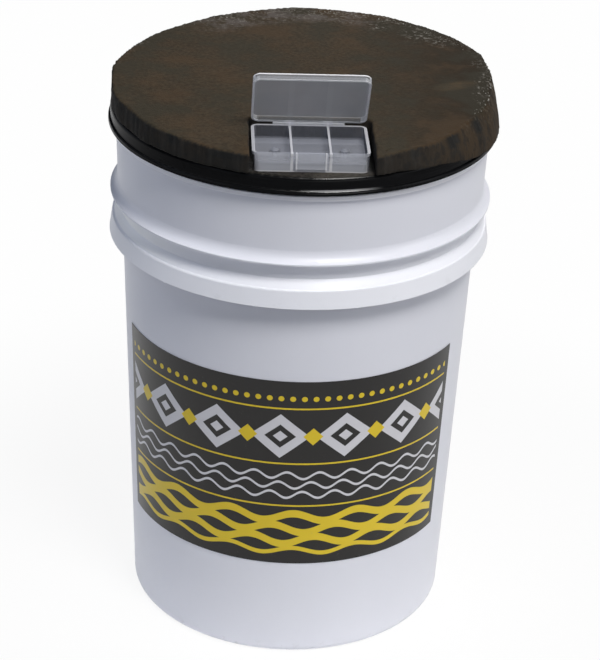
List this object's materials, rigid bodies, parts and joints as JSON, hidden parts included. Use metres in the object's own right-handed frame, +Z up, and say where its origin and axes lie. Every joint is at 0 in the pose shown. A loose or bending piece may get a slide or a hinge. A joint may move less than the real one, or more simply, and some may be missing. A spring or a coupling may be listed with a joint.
{
  "type": "fishing seat bucket",
  "caption": "Tall tapered pail with a lift-off padded seat lid that carries a small clear hinged tackle box, for sitting on and carrying gear.",
  "frame": {"origin": "centre of the pail's base, on the surface that it stands on", "axes": "+Z up along the pail's axis, -Y towards the front, where the tackle box is, +X to the right as seen from the front"},
  "size_m": [0.3101, 0.321, 0.5036],
  "materials": {
    "pail_white": "satin",
    "label_film": "gloss",
    "lid_black": "gloss",
    "gasket_rubber": "matte",
    "pad_foam": "matte",
    "box_clear": "satin",
    "pin_steel": "satin",
    "rivet_nylon": "satin"
  },
  "bodies": {
    "pail": {"pail_body": "pail_white", "label": "label_film"},
    "seat": {"seat_lid": "lid_black", "lid_gasket": "gasket_rubber", "seat_pad": "pad_foam", "tackle_tray": "box_clear", "hinge_pin": "pin_steel", "tray_rivets": "rivet_nylon", "rivet_washers": "rivet_nylon"},
    "box_lid": {"tackle_lid": "box_clear"}
  },
  "joints": [
    {"name": "seat_lift", "type": "slide", "parent": "pail", "child": "seat", "axis": [0, 0, 1], "range_m": [0, 0.15]},
    {"name": "box_lid_hinge", "type": "hinge", "parent": "seat", "child": "box_lid", "pos_m": [0, -0.0841, 0.4525], "axis": [-1, 0, 0], "range_deg": [-54.5, 50.5]}
  ]
}
